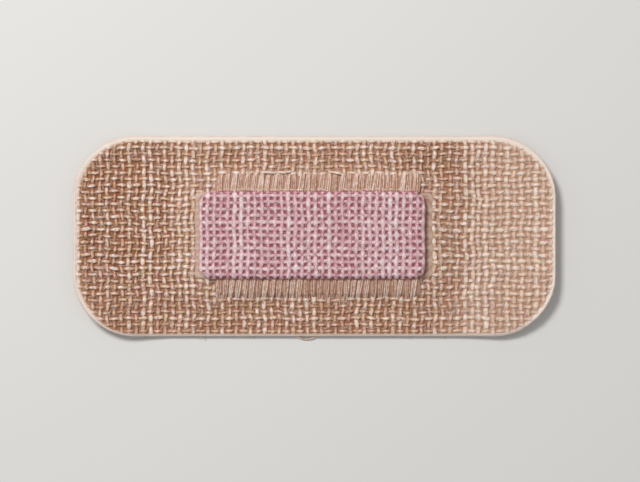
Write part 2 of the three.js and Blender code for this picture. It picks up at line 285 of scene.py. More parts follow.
net = add(yarns, "GeometryNodeSetShadeSmooth", {"Geometry": net})
net = add(yarns, "GeometryNodeRealizeInstances", {"Geometry": net})
net = add(yarns, "GeometryNodeSetMaterial", {"Geometry": net, "Material": given["Yarn"]})
add(yarns, "NodeGroupOutput", {"Net": net})


def blank(name):
    """A new material, its node tree and its surface node."""
    material = bpy.data.materials.new(name)
    material.use_nodes = True
    return material, material.node_tree, material.node_tree.nodes["Principled BSDF"]


def spun(name, dark, plain, light, sealed, soaked, variety=0.22, hue=0.7, painted_highlight=1.0, furrows=0.5, sheen=0.25,
         strand=0.17):
    """Spun cotton: fibres slant round the yarn and each yarn has its own tone. Light and shade are painted by
    the crest: lighter tops with a painted highlight in the light colour, flanks darkened by the soaked colour
    as painted shade, and darker fibre furrows as painted shade.
    """
    material, nodes, shader = blank(name)
    where = add(nodes, "ShaderNodeAttribute", attribute_name="fibre").outputs["Vector"]
    slant = {"Vector": where, "Rotation": (0, 0, math.radians(28)), "Scale": (0.4, strand, 1)}
    slant = add(nodes, "ShaderNodeMapping", slant, vector_type="TEXTURE")
    fibres = add(nodes, "ShaderNodeTexNoise", {
        "Vector": slant, "Scale": 1.0, "Detail": 2.0, "Roughness": 0.6})
    mottle = add(nodes, "ShaderNodeTexNoise", {
        "Vector": where, "Scale": 2.2, "Detail": 3.0, "Roughness": 0.6})
    tone = add(nodes, "ShaderNodeAttribute", attribute_name="tone").outputs["Fac"]
    shade = add(nodes, "ShaderNodeMath", {0: tone, 1: variety}, operation="MULTIPLY")
    shade = add(nodes, "ShaderNodeMath", {0: mottle, 1: 1.5, 2: shade}, operation="MULTIPLY_ADD")
    crest = add(nodes, "ShaderNodeAttribute", attribute_name="crest").outputs["Fac"]
    # Painted light: higher on the crest, the yarn's colour is lighter.
    shade = add(nodes, "ShaderNodeMath", {0: crest, 1: 0.3, 2: shade}, operation="MULTIPLY_ADD")
    shade = add(nodes, "ShaderNodeMath", {0: shade, 1: -0.5 - variety / 2}, operation="ADD")
    ramp = add(nodes, "ShaderNodeValToRGB", {"Fac": shade})
    stops = ramp.color_ramp.elements
    stops[0].position, stops[0].color = 0.15, linear(dark)
    stops[1].position, stops[1].color = 0.85, linear(light)
    stop = stops.new(0.5)
    stop.color = linear(plain)
    drift = add(nodes, "ShaderNodeTexNoise", {"Vector": where, "Scale": 1.1, "Detail": 1.0})
    drift = add(nodes, "ShaderNodeMapRange", {"Value": drift, "From Min": 0.35, "From Max": 0.65})
    drift = add(nodes, "ShaderNodeMix", {
        "Factor": drift, "A": linear("B8C49C"), "B": linear("C4B0C8")}, data_type="RGBA")
    colour = add(nodes, "ShaderNodeMix", {
        "Factor": hue, "A": ramp, "B": drift}, data_type="RGBA", blend_type="SOFT_LIGHT")
    # Painted shade between the fibres: darker where the fibre bump is low, lighter where it is high.
    depth = add(nodes, "ShaderNodeMapRange", {"Value": fibres, "From Min": 0.3, "From Max": 0.65,
                                              "To Min": 1 - furrows, "To Max": 1.0 + 0.3 * furrows})
    colour = add(nodes, "ShaderNodeMix", {
        "Factor": 1.0, "A": colour, "B": depth}, data_type="RGBA", blend_type="MULTIPLY", clamp_result=True)
    # Painted highlight: near the top of the crest, in patches, the colour goes to the light colour.
    highlight = add(nodes, "ShaderNodeMapRange", {
        "Value": crest, "From Min": 0.86, "From Max": 1.0, "To Max": painted_highlight}, interpolation_type="SMOOTHSTEP")
    some = add(nodes, "ShaderNodeMapRange", {"Value": mottle, "From Min": 0.38, "From Max": 0.6})
    highlight = add(nodes, "ShaderNodeMath", {0: highlight, 1: some}, operation="MULTIPLY")
    colour = add(nodes, "ShaderNodeMix", {"Factor": highlight, "A": colour, "B": linear(light)}, data_type="RGBA")
    # Painted shade: away from the crest the flanks are multiplied by the soaked colour.
    flank_shade = add(nodes, "ShaderNodeMapRange", {"Value": crest, "From Min": 0.3, "From Max": 1.0, "To Min": 1.0,
                                              "To Max": 0.0}, interpolation_type="SMOOTHSTEP")
    colour = add(nodes, "ShaderNodeMix", {
        "Factor": flank_shade, "A": colour, "B": linear(soaked)}, data_type="RGBA", blend_type="MULTIPLY")
    # The fill mark mixes in the sealed colour: real where adhesive fills the weave, painted light above the pad
    # and partly at the right end, and painted shade on the facing's folded hem.
    filled = add(nodes, "ShaderNodeAttribute", attribute_name="filled").outputs["Fac"]
    filled = add(nodes, "ShaderNodeMath", {0: filled, 1: 0.36}, operation="MULTIPLY")
    colour = add(nodes, "ShaderNodeMix", {
        "Factor": filled, "A": colour, "B": linear(sealed)}, data_type="RGBA")
    bump = add(nodes, "ShaderNodeBump", {"Strength": 1.0, "Distance": 0.0002, "Height": fibres})
    fill(nodes, shader, {"Base Color": colour, "Normal": bump, "Roughness": 0.7, "IOR": 1.5,
                         "Specular IOR Level": 0.3, "Sheen Weight": sheen, "Sheen Roughness": 0.5})
    return material


# Dyed spun cotton: matt, with slanting fibres, and a shade that changes from yarn to yarn
# Its light colour is also the painted highlight on the crossings, its soaked colour the painted shade on the
# yarns' flanks, and its sealed colour both the paleness where adhesive fills the weave and painted light above
# the pad and at the right end.
cotton = spun("Dyed spun cotton", "BE8A66", "ECC2A6", "FFF1E8", "F8E2D2", "DAB69E")
CUT_LENGTH, CUT_WIDTH, CUT_CORNER = 59.7, 24.7, 7.55
alike = {"wander": 0.08, "unevenness": 0.22, "yarn": cotton, "cut_corner": CUT_CORNER}
warp = grown("cloth_warp", yarns, yarns=67, pitch=WARP_PITCH, crossings=32, crossing_pitch=WEFT_PITCH,
             half_width=0.245, half_height=0.15, crimp=0.085, first_over=0, knuckle=0.06, seed=3,
             cut_length=CUT_WIDTH, cut_width=CUT_LENGTH, **alike)
weft = grown("cloth_weft", yarns, yarns=31, pitch=WEFT_PITCH, crossings=68, crossing_pitch=WARP_PITCH,
             half_width=0.2, half_height=0.14, crimp=0.11, first_over=1, knuckle=0.14, seed=5,
             cut_length=CUT_LENGTH, cut_width=CUT_WIDTH, **alike)
# Two neighbouring warp yarns well right of the pad are thicker and paler, and so are those beside its pocket
points = points_of(warp)
tones = np.empty(len(points), np.float32)
warp.data.attributes["tone"].data.foreach_get("value", tones)
for slub, shift, low, high, up in ((-21, -0.2, -8, 11, 0.08), (-22, -0.2, -8, 11, 0.08),
                                   (17, 0.1, -6.5, 6.3, 0.1), (-17, 0.3, -6, 6, 0.04), (-18, 0.4, -5, 6, 0.04)):
    there = np.abs(fibre_of(warp)[:, 2] / NUMBER_STEP - slub) < 0.4
    floats = smoothstep(points[there, 0], low, low + 1.5)
    floats = floats * (1 - smoothstep(points[there, 0], high - 1.5, high))
    points[there, 1] += shift * (0.4 + 0.6 * floats)
    points[there, 2] = points[there, 2] * (1 - 0.4 * floats) + up * floats
    tones[there] = 0.9
warp.data.attributes["tone"].data.foreach_set("value", tones)
laid(warp, CLOTH_MIDDLE, turned=True, flat=points)
laid(weft, CLOTH_MIDDLE)
for piece in (warp, weft):
    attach(piece, "root")
    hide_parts("backing_cloth")


# The brown adhesive in the gaps of the weave: a thin skin between the two faces of the cloth.
# Near the bed, along the cut edge and at the right end it fills more of the gaps, and looks paler there; the
# paleness at the right end and above the pad is also painted light.
def skin(name, length, width, corner, thickness, across, along):
    """A thin closed flat sheet with round corners."""
    bend = corner * (1 - np.cos(np.linspace(0, math.pi / 2, 9)))
    straight = np.linspace(-length / 2 + corner, length / 2 - corner, along)[1:-1]
    xs = np.concatenate([-length / 2 + bend, straight, (length / 2 - bend)[::-1]])
    inside = np.sqrt(np.maximum(0, corner ** 2 - np.maximum(0, np.abs(xs) - length / 2 + corner) ** 2))
    ys = np.outer(width / 2 - corner + inside, np.linspace(-1, 1, across))
    rows, columns = ys.shape
    flat = np.stack([np.repeat(xs, columns), ys.ravel()], 1)
    faces_at = (thickness / 2, -thickness / 2)
    points = np.concatenate([np.column_stack([flat, np.full(len(flat), z)]) for z in faces_at])
    index = np.arange(rows * columns).reshape(rows, columns)
    top = np.stack([index[:-1, :-1], index[1:, :-1], index[1:, 1:], index[:-1, 1:]], -1).reshape(-1, 4)
    ring = np.concatenate([index[:, 0], index[-1, 1:], index[-2::-1, -1], index[0, -2:0:-1]])
    after = np.roll(ring, -1)
    wall = np.stack([ring, ring + len(flat), after + len(flat), after], 1)
    mesh = bpy.data.meshes.new(name)
    mesh.from_pydata(points.tolist(), [], np.concatenate([top, top[:, ::-1] + len(flat), wall]).tolist())
    mesh.shade_smooth()
    return put(name, mesh)


# Acrylic adhesive, spread on the cloth and dried: brown, smooth and slightly glossy in the depth of the gaps
glue, nodes, shader = blank("Spread acrylic adhesive")
spot = add(nodes, "ShaderNodeTexCoord").outputs["Object"]
patches = add(nodes, "ShaderNodeTexNoise", {"Vector": spot, "Scale": 700.0, "Detail": 4.0})
brown = add(nodes, "ShaderNodeMix", {
    "Factor": patches, "A": linear("74402A"), "B": linear("C08A68")}, data_type="RGBA")
drift = add(nodes, "ShaderNodeTexNoise", {"Vector": spot, "Scale": 500.0, "Detail": 1.0}).outputs["Color"]
brown = add(nodes, "ShaderNodeMix", {
    "Factor": 0.4, "A": brown, "B": drift}, data_type="RGBA", blend_type="SOFT_LIGHT")
# The fill mark makes the adhesive paler where it fills the weave, and also as painted light above the pad and
# at the right end.
filled = add(nodes, "ShaderNodeAttribute", attribute_name="filled").outputs["Fac"]
brown = add(nodes, "ShaderNodeMix", {"Factor": filled, "A": brown, "B": linear("B98C6E")}, data_type="RGBA")
rim = add(nodes, "ShaderNodeMapRange", {"Value": filled, "From Min": 1.0, "From Max": 1.7})
brown = add(nodes, "ShaderNodeMix", {"Factor": rim, "A": brown, "B": linear("F0E0D2")}, data_type="RGBA")
bump = add(nodes, "ShaderNodeBump", {"Strength": 0.5, "Distance": 0.00005, "Height": patches})
fill(nodes, shader, {
    "Base Color": brown, "Normal": bump, "Roughness": 0.55, "IOR": 1.47, "Specular IOR Level": 0.35})
GLUE_MIDDLE, GLUE_RISE = 0.29, 0.08
ground = skin("cloth_ground", STRIP_LENGTH - 0.2, STRIP_WIDTH - 0.2, STRIP_CORNER - 0.1, 0.08, 63, 121)
laid(ground, GLUE_MIDDLE, risen=GLUE_RISE)
ground.data.materials.append(glue)
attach(ground, "root")
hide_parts("backing_cloth")


# The cloth's pressed edge, where the die cut it and adhesive seals the yarn ends.
# It is a pale narrow rim, wider at the left end than along the lower side.
def lumpy(name, dark, pale, noise, relief, finish):
    """A material with small lumps between two colours. Relief is a strength and a depth in metres, or None."""
    material, nodes, shader = blank(name)
    spot = add(nodes, "ShaderNodeTexCoord").outputs["Object"]
    lumps = add(nodes, "ShaderNodeTexNoise", {"Vector": spot, **noise})
    colour = add(nodes, "ShaderNodeMix", {
        "Factor": lumps, "A": linear(dark), "B": linear(pale)}, data_type="RGBA")
    fill(nodes, shader, {"Base Color": colour, **finish})
    if relief:
        bump = add(nodes, "ShaderNodeBump", {"Strength": relief[0], "Distance": relief[1], "Height": lumps})
        nodes.links.new(bump.outputs[0], shader.inputs["Normal"])
    return material


# Cut yarn ends sealed by adhesive: pale, matt and finely lumpy
ends = lumpy("Die-cut sealed edge", "C4A894", "F8ECE4", {
    "Scale": 1100.0, "Detail": 4.0, "Roughness": 0.7}, (0.6, 0.00006), {"Roughness": 0.7})

outline, outward = [], []
for corner_x, corner_y, start in ((1, 1, 0), (-1, 1, 90), (-1, -1, 180), (1, -1, 270)):
    centre = np.array([corner_x * (STRIP_LENGTH / 2 - STRIP_CORNER),
                       corner_y * (STRIP_WIDTH / 2 - STRIP_CORNER)])
    for angle in np.radians(np.linspace(start, start + 90, 25)):
        away = np.array([math.cos(angle), math.sin(angle)])
        outline.append(centre + STRIP_CORNER * away)
        outward.append(away)
outline, outward = np.array(outline), np.array(outward)
spaced, facing = [], []
for here, there, one, two in zip(outline, np.roll(outline, -1, 0), outward, np.roll(outward, -1, 0)):
    pieces = max(1, round(float(np.hypot(*(there - here))) / 0.35))
    for k in range(pieces):
        spaced.append(here + (there - here) * k / pieces)
        facing.append(one + (two - one) * k / pieces)
spaced, facing = np.array(spaced), np.array(facing)
# The right end is cut a little wavy
wavy = 0.08 * np.sin(2.3 * spaced[:, 1] + 1.3 * spaced[:, 0]) ** 2 * smoothstep(facing[:, 0], 0.2, 0.7)
spaced = spaced - facing * wavy[:, None]
RIM_HALF_WIDTH, MORE_AT_LEFT, MORE_AT_RIGHT, LESS_BELOW, RIM_HALF_HEIGHT = 0.1, 0.14, 0.08, 0.04, 0.24
chance = np.random.default_rng(11)
half_rim = RIM_HALF_WIDTH + MORE_AT_LEFT * np.maximum(0, -facing[:, 0])
half_rim = half_rim + MORE_AT_RIGHT * np.maximum(0, facing[:, 0]) - LESS_BELOW * np.maximum(0, -facing[:, 1])
half_rim = half_rim * (1 + 0.12 * chance.standard_normal(len(half_rim)).clip(-2, 2))
points, faces = [], []
for angle in np.radians(np.arange(0, 360, 45)):
    in_plan = spaced + facing * (half_rim * (math.cos(angle) - 1))[:, None]
    points.append(np.column_stack([in_plan, np.full(len(in_plan), RIM_HALF_HEIGHT * math.sin(angle))]))
count = len(spaced)
for step in range(8):
    for k in range(count):
        a, b = step * count, (step + 1) % 8 * count
        faces.append([a + k, a + (k + 1) % count, b + (k + 1) % count, b + k])
mesh = bpy.data.meshes.new("cloth_rim")
mesh.from_pydata(np.concatenate(points).tolist(), [], faces)
mesh.shade_smooth()
RIM_MIDDLE = 0.42
rim = laid(put("cloth_rim", mesh), RIM_MIDDLE)
rim.data.materials.append(ends)
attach(rim, "root")
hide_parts("backing_cloth")


# Cut yarn ends along the lower edge: single whiskers of cotton that the die left uncut, pressed into the rim,
# and one loop of thread that hangs out a little way.
def strand(name, path, radius, material):
    """One round thread through these points, in millimetres."""
    curve = bpy.data.curves.new(name, "CURVE")
    curve.dimensions, curve.bevel_depth, curve.bevel_resolution, curve.use_fill_caps = "3D", radius, 1, True
    line = curve.splines.new("NURBS")
    line.points.add(len(path) - 1)
    for point, place in zip(line.points, path):
        point.co = (*place, 1)
    line.use_endpoint_u, line.order_u, line.resolution_u = True, 3, 4
    made = put(name, curve)
    mesh = bpy.data.meshes.new_from_object(made.evaluated_get(bpy.context.evaluated_depsgraph_get()))
    bpy.data.objects.remove(made)
    mesh.name = name
    mesh.shade_smooth()
    mesh.materials.clear()
    mesh.materials.append(material)
    piece = put(name, mesh)
    points = points_of(piece)
    mark = mesh.attributes.new("fibre", "FLOAT_VECTOR", "POINT")
    mark.data.foreach_set("vector", (points * 1.3).astype(np.float32).ravel())
    # A high fixed crest: the yarn material gives the thread a faint painted highlight and little painted shade.
    pale = np.full(len(points), 0.9)
    return set_points(piece, points, tone=pale, crest=pale)


whiskers = []
for number, (x, length, lean) in enumerate((
        (-21.3, 0.35, 0.2), (-20.7, 0.3, -0.25), (-14.2, 0.45, -0.35), (-13.8, 0.6, 0.1), (-8.1, 0.3, 0.3),
        (-7.6, 0.35, -0.1), (3.2, 0.25, 0.3), (7.7, 0.3, -0.3), (12.0, 0.4, 0.1), (16.4, 0.35, -0.3),
        (20.6, 0.4, 0.15))):
    bend = (x + 0.3 * lean * length, -12.45 - 0.3 * length, 0.3)
    tip = (x + lean * length, -12.45 - length, 0.12)
    whiskers.append(strand(f"whisker_{number + 1}", [(x, -12.2, 0.35), bend, tip], 0.035, cotton))
loop_path = [(-2.45, -12.2, 0.4), (-2.2, -12.6, 0.22), (-1.5, -12.88, 0.14), (-0.9, -12.95, 0.12),
             (-0.3, -12.78, 0.2), (0.1, -12.5, 0.3), (0.2, -12.2, 0.4)]
loop = strand("thread_loop", loop_path, 0.09, cotton)
for piece in (*whiskers, loop):
    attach(piece, "root")
    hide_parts("backing_cloth")


# Stray fibres: fine cotton hairs that stand out of the yarns everywhere, which make the cloth look soft.
# Real ones are 0.015 mm thick; these are drawn twice as thick, so that they show at all.
hairs, given = tree_of("Stray fibres", "Fuzz", length="Float", width="Float", corner="Float",
                       per_square_millimetre="Float", hair="Float", seed="Int", yarn="Material")
field = add(hairs, "GeometryNodeMeshGrid", {
    "Size X": given["Length"], "Size Y": given["Width"], "Vertices X": 2, "Vertices Y": 2})
roots = add(hairs, "GeometryNodeDistributePointsOnFaces", {
    "Mesh": field, "Density": given["Per square millimetre"], "Seed": given["Seed"]})
place = add(hairs, "ShaderNodeSeparateXYZ", {"Vector": add(hairs, "GeometryNodeInputPosition")}).outputs
off = outside(hairs, place, given["Length"], given["Width"], given["Corner"])
roots = add(hairs, "GeometryNodeDeleteGeometry", {"Geometry": roots, "Selection": off}, domain="POINT")
arch = add(hairs, "GeometryNodeCurvePrimitiveBezierSegment", {
    "Resolution": 4, "Start": (-0.5, 0, 0), "Start Handle": (-0.3, 0.3, 0.25),
    "End Handle": (0.2, 0.1, 0.3), "End": (0.5, -0.1, 0.05)})
way = add(hairs, "FunctionNodeRandomValue", {
    "Min": (-0.25, -0.25, 0), "Max": (0.25, 0.25, 6.28), "Seed": given["Seed"]}, data_type="FLOAT_VECTOR")
long = add(hairs, "FunctionNodeRandomValue", {
    "Min": (0.35, -0.6, 0.3), "Max": (1.0, 1.0, 1.0), "Seed": 40}, data_type="FLOAT_VECTOR")
fuzz = add(hairs, "GeometryNodeInstanceOnPoints", {
    "Points": roots, "Instance": arch, "Rotation": way, "Scale": long})
fuzz = add(hairs, "GeometryNodeRealizeInstances", {"Geometry": fuzz})
ring = add(hairs, "GeometryNodeCurvePrimitiveCircle", {"Resolution": 3, "Radius": given["Hair"]})
fuzz = add(hairs, "GeometryNodeCurveToMesh", {"Curve": fuzz, "Profile Curve": ring, "Scale": 1.0})
fuzz = add(hairs, "GeometryNodeRealizeInstances", {"Geometry": fuzz})
fuzz = add(hairs, "GeometryNodeSetMaterial", {"Geometry": fuzz, "Material": given["Yarn"]})
add(hairs, "NodeGroupOutput", {"Fuzz": fuzz})

# A single cotton fibre: pale, with a soft sheen, so it takes the light and not much of the dye
fine = lumpy("Single cotton fibre", "E8CDBA", "FBF1E8", {
    "Scale": 400.0}, None, {"Roughness": 0.6, "Sheen Weight": 0.3})
cloth_fuzz = grown("cloth_fuzz", hairs, length=58.4, width=23.4, corner=6.9, per_square_millimetre=2.4,
                   hair=0.02, seed=31, yarn=fine)
laid(cloth_fuzz, CLOTH_MIDDLE, flat=points_of(cloth_fuzz) + (0, 0, 0.15))
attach(cloth_fuzz, "root")
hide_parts("backing_cloth")


# The adhesive bed under the pad: acrylic adhesive spread thick, with a shallow pocket that the pad lies in.
# The pocket shows as a smooth brown channel at each end of the pad, with a low pale lip round it, and
# further out the weave of the cloth comes through. Its left half is paler as painted light, on the side toward
# the lamp.
BED_TOP, BED_BOTTOM, POCKET_DEPTH, LIP_HEIGHT, THROUGH = 1.02, 0.8, 0.34, 0.06, 0.035
bed = skin("adhesive_patch", BED_LENGTH, BED_WIDTH, BED_CORNER, 0.4, 81, 241)
points = points_of(bed)
off = beyond(points[:, 0] + PAD_X - POCKET_X, points[:, 1], POCKET_LENGTH, POCKET_WIDTH, POCKET_CORNER)
top = points[:, 2] > 0
weave = np.cos(points[:, 0] * math.pi / WARP_PITCH) * np.cos(points[:, 1] * math.pi / WEFT_PITCH)
lip = np.exp(-((off + 0.1) / 0.1) ** 2) * (0.7 + 0.3 * np.cos(points[:, 1] * math.pi / WEFT_PITCH))
# Painted light: the left half is made paler, as the side toward the lamp; the lip and the weave coming through
# are paler of themselves.
pale = np.maximum(0.7 * lip, 0.35 * smoothstep(np.abs(weave), 0.5, 1.0)) + np.where(points[:, 0] < 0, 0.3, 0)
upper_face = BED_TOP + THROUGH * weave - POCKET_DEPTH * smoothstep(off, 0.0, 0.22) + LIP_HEIGHT * lip
points[:, 2] = np.where(top, upper_face, BED_BOTTOM - 0.15 * smoothstep(off, -0.3, 0.0))
points[:, :2] += (PAD_X, PAD_Y)
set_points(bed, points, pale=pale)
# Acrylic adhesive poured thick: smooth and brown, with a soft sheen, paler along its lip, and on its left half
# as painted light
tacky, nodes, shader = blank("Thick acrylic adhesive")
spot = add(nodes, "ShaderNodeTexCoord").outputs["Object"]
drawn = add(nodes, "ShaderNodeMapping", {
    "Vector": spot, "Scale": (0.0007, 0.00015, 0.0002)}, vector_type="TEXTURE")
patches = add(nodes, "ShaderNodeTexNoise", {"Vector": drawn, "Scale": 1.0, "Detail": 3.0, "Roughness": 0.65})
tan = add(nodes, "ShaderNodeMix", {
    "Factor": patches, "A": linear("74442C"), "B": linear("D2A286")}, data_type="RGBA")
pale = add(nodes, "ShaderNodeAttribute", attribute_name="pale").outputs["Fac"]
tan = add(nodes, "ShaderNodeMix", {"Factor": pale, "A": tan, "B": linear("F0DAC8")}, data_type="RGBA")
bump = add(nodes, "ShaderNodeBump", {"Strength": 0.8, "Distance": 0.0001, "Height": patches})
fill(nodes, shader, {"Base Color": tan, "Normal": bump, "Roughness": 0.55, "IOR": 1.47})
bed.data.materials.append(tacky)
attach(bed, "root")
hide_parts("adhesive_bed")


# The wadding core: soft cotton pressed into a low cushion, wrapped in the facing and glued to the bed.
PAD_LENGTH, PAD_WIDTH, PAD_CORNER = 27.8, 10.6, 0.7
CORE_LENGTH, CORE_WIDTH, CORE_EDGE, CORE_TOP, CORE_BOTTOM = 26.0, 9.0, 1.2, 1.65, 1.07
core = skin("wadding", CORE_LENGTH, CORE_WIDTH, CORE_EDGE, 0.5, 21, 55)
points = points_of(core)
off = beyond(points[:, 0], points[:, 1], CORE_LENGTH, CORE_WIDTH, CORE_EDGE)
inset = np.clip(-off / CORE_EDGE, 0, 1)
puffed = CORE_TOP - 0.4 + 0.4 * np.sqrt(1 - (1 - inset) ** 2)
points[:, 2] = np.where(points[:, 2] > 0, puffed, CORE_BOTTOM)
points[:, :2] += (PAD_X, PAD_Y)
set_points(core, points)
# Bleached cotton wadding: matt and soft, tinted pink by the facing
wool = lumpy("Bleached cotton wadding", "C9A2A2", "EBD6D6", {
    "Scale": 1500.0, "Detail": 4.0}, (0.8, 0.0001), {"Roughness": 0.95, "Sheen Weight": 0.4})
core.data.materials.append(wool)
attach(core, "root")
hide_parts("absorbent_pad")


# The pad's facing: pink cotton gauze, folded down over the wadding on all sides.
# Its yarns lie close in both directions, and dark pink shows in the small square holes between them.
FOLD, TUCK = 0.5, 0.9
HEM = FOLD * math.pi / 2 + 0.32
GAUZE_TOP = 1.93


def over_pad(piece, turned=False, deep=0.0, flat=None):
    """Folds a flat piece over the pad. The flat height stands out from the folded surface."""
    points = points_of(piece) if flat is None else flat
    x, y = (-points[:, 1], points[:, 0]) if turned else (points[:, 0], points[:, 1])
    inner_x = np.clip(x, -PAD_LENGTH / 2 + FOLD + TUCK, PAD_LENGTH / 2 - FOLD - TUCK)
    inner_y = np.clip(y, -PAD_WIDTH / 2 + FOLD + TUCK, PAD_WIDTH / 2 - FOLD - TUCK)
    past = np.hypot(x - inner_x, y - inner_y)
    way = np.stack([x - inner_x, y - inner_y], 1) / np.maximum(past, 1e-9)[:, None]
    inner_x = inner_x + way[:, 0] * np.minimum(past, TUCK)
    inner_y = inner_y + way[:, 1] * np.minimum(past, TUCK)
    past = np.maximum(past - TUCK, 0)
    angle = np.minimum(past / FOLD, math.pi / 2)
    stands = points[:, 2] - deep
    out = FOLD * np.sin(angle) + stands * np.sin(angle)
    crown = 0.12 * (1 - (2 * x / PAD_LENGTH) ** 2).clip(0) * (1 - (2 * y / PAD_WIDTH) ** 2).clip(0)
    hanging = np.maximum(past - FOLD * math.pi / 2, 0)
    z = GAUZE_TOP + crown - FOLD * (1 - np.cos(angle)) - hanging + stands * np.cos(angle)
    placed = np.column_stack([inner_x + PAD_X + way[:, 0] * out, inner_y + PAD_Y + way[:, 1] * out, z])
    placed[:, 0] += 0.07 * np.sin(1.1 * y + 0.3 * x) * (1 - angle / 2)
    placed[:, 1] += 0.06 * np.sin(0.6 * x - 0.4 * y) * (1 - angle / 2)
    # Painted shade: the mark turns the pink yarn deeper pink where the facing folds down over the edge.
    return set_points(piece, placed, filled=1.8 * smoothstep(past, 0.35, 0.8))


# Dyed gauze yarn: matt and a little fuzzy; its pale pink on the crossings is a painted highlight, its darker
# flanks painted shade, and its deeper pink where the hem folds down painted shade too.
pink = spun("Pink gauze cotton", "DEA2AC", "F6CFD3", "FFEDEF", "DC9CA6", "E0C2C7",
            variety=0.2, hue=0.2, painted_highlight=0.4, furrows=0.4, sheen=0.4)
flat_length, flat_width = PAD_LENGTH - 2 * FOLD + 2 * HEM, PAD_WIDTH - 2 * FOLD + 2 * HEM
alike = {"half_height": 0.13, "crimp": 0.03, "knuckle": 0.08, "wander": 0.06, "unevenness": 0.17, "yarn": pink,
         "cut_corner": HEM + TUCK}
gauze_warp = grown("gauze_warp", yarns, yarns=34, pitch=0.84, crossings=16, crossing_pitch=0.82, first_over=0.5,
                   half_width=0.275, seed=13, cut_length=flat_width, cut_width=flat_length, **alike)
gauze_weft = grown("gauze_weft", yarns, yarns=15, pitch=0.82, crossings=36, crossing_pitch=0.84, first_over=1.5,
                   half_width=0.26, seed=17, cut_length=flat_length, cut_width=flat_width, **alike)
over_pad(gauze_warp, turned=True, deep=-0.03)
over_pad(gauze_weft)

# Loose dyed fibres behind the yarns: a deep pink mat that shows through the holes
mat = lumpy("Deep pink fibre mat", "944A56", "C07C84", {
    "Scale": 1000.0, "Detail": 4.0}, (0.6, 0.00006), {"Roughness": 0.95})
gauze_ground = skin("gauze_ground", flat_length - 0.1, flat_width - 0.1, HEM + TUCK, 0.06, 61, 121)
over_pad(gauze_ground, deep=0.09)
gauze_ground.data.materials.append(mat)
# A thin roll of the mat lies along the upper and the lower hem as a dark red line: painted shade, put where the
# crevice at the hem is in shade.
hem_shadow_rolls = []
for side, y in (("upper", 5.5), ("lower", -5.3)):
    path = [(x, y + 0.04 * math.sin(2.1 * x) + 0.02 * math.sin(5.3 * x), 1.42 + 0.05 * math.sin(3.7 * x))
            for x in np.linspace(-12.9, 12.4, 61)]
    hem_shadow_rolls.append(strand(f"{side}_hem_roll", path, 0.09, mat))
for piece in (gauze_warp, gauze_weft, gauze_ground, *hem_shadow_rolls):
    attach(piece, "root")
    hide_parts("pad_gauze")


# The loose threads above and below the pad: the facing's warp, running on past the hem.
# Each yarn lies untwisted as three fine filaments, leaning a little, and pressed onto the bed and the cloth.
threads, given = tree_of("Filaments in bundles", "Band", bundles="Int", pitch="Float", filaments="Int",
                         length="Float", radius="Float", lean="Float", seed="Int", yarn="Material")
count = add(threads, "ShaderNodeMath", {0: given["Bundles"], 1: given["Filaments"]}, operation="MULTIPLY")
index = add(threads, "GeometryNodeInputIndex")
part = add(threads, "ShaderNodeMath", {0: index, 1: given["Filaments"]}, operation="MODULO")
group = add(threads, "ShaderNodeMath", {0: index, 1: part}, operation="SUBTRACT")
group = add(threads, "ShaderNodeMath", {0: group, 1: given["Filaments"]}, operation="DIVIDE")
# Filaments of a bundle lie closer to each other than to the next bundle's
spare = add(threads, "ShaderNodeMath", {0: given["Filaments"], 1: -1.0}, operation="ADD")
inside = add(threads, "ShaderNodeMath", {0: part, 1: spare}, operation="DIVIDE")
inside = add(threads, "ShaderNodeMath", {0: inside, 1: 0.5}, operation="SUBTRACT")
inside = add(threads, "ShaderNodeMath", {0: inside, 1: 0.53}, operation="MULTIPLY")
slot_x = add(threads, "ShaderNodeMath", {0: group, 1: inside}, operation="ADD")
middle = add(threads, "ShaderNodeMath", {0: given["Bundles"], 1: -0.5, 2: 0.5}, operation="MULTIPLY_ADD")
slot_x = add(threads, "ShaderNodeMath", {0: slot_x, 1: middle}, operation="ADD")
start_x = add(threads, "ShaderNodeMath", {0: slot_x, 1: given["Pitch"]}, operation="MULTIPLY")
dots = add(threads, "GeometryNodePoints", {
    "Count": count, "Position": add(threads, "ShaderNodeCombineXYZ", {"X": start_x})})
for name, value in (("thread", index), ("aside", inside), ("bundle", group)):
    dots = add(threads, "GeometryNodeStoreNamedAttribute", {"Geometry": dots, "Name": name, "Value": value})
stroke = add(threads, "GeometryNodeCurvePrimitiveLine", {
    "End": add(threads, "ShaderNodeCombineXYZ", {"Y": given["Length"]})})
stroke = add(threads, "GeometryNodeResampleCurve", {"Curve": stroke, "Count": 11})
strokes = add(threads, "GeometryNodeInstanceOnPoints", {"Points": dots, "Instance": stroke})
strokes = add(threads, "GeometryNodeRealizeInstances", {"Geometry": strokes})
own, bundle, aside, axis = (add(threads, "GeometryNodeInputNamedAttribute", {"Name": name})
                            for name in ("thread", "bundle", "aside", "line"))
seed = given["Seed"]
seeded = add(threads, "ShaderNodeMath", {0: seed, 1: 5.13}, operation="MULTIPLY")
# What chance gives each bundle or filament: how much it leans, its length, height, thickness and tone
leaning, reach, rise, size, tone, shared = (
    add(threads, "FunctionNodeRandomValue", {"Min": low, "Max": high, "ID": one, "Seed": by})
    for low, high, one, by in ((0.2, 1.3, bundle, seed), (0.93, 1.03, bundle, seeded), (-0.03, 0.05, own, seed),
                               (0.75, 1.25, own, seed), (0.0, 0.35, own, seeded), (0.0, 0.65, bundle, seed)))
here = add(threads, "ShaderNodeSeparateXYZ", {"Vector": add(threads, "GeometryNodeInputPosition")}).outputs
done = add(threads, "ShaderNodeMath", {0: here["Y"], 1: given["Length"]}, operation="DIVIDE")
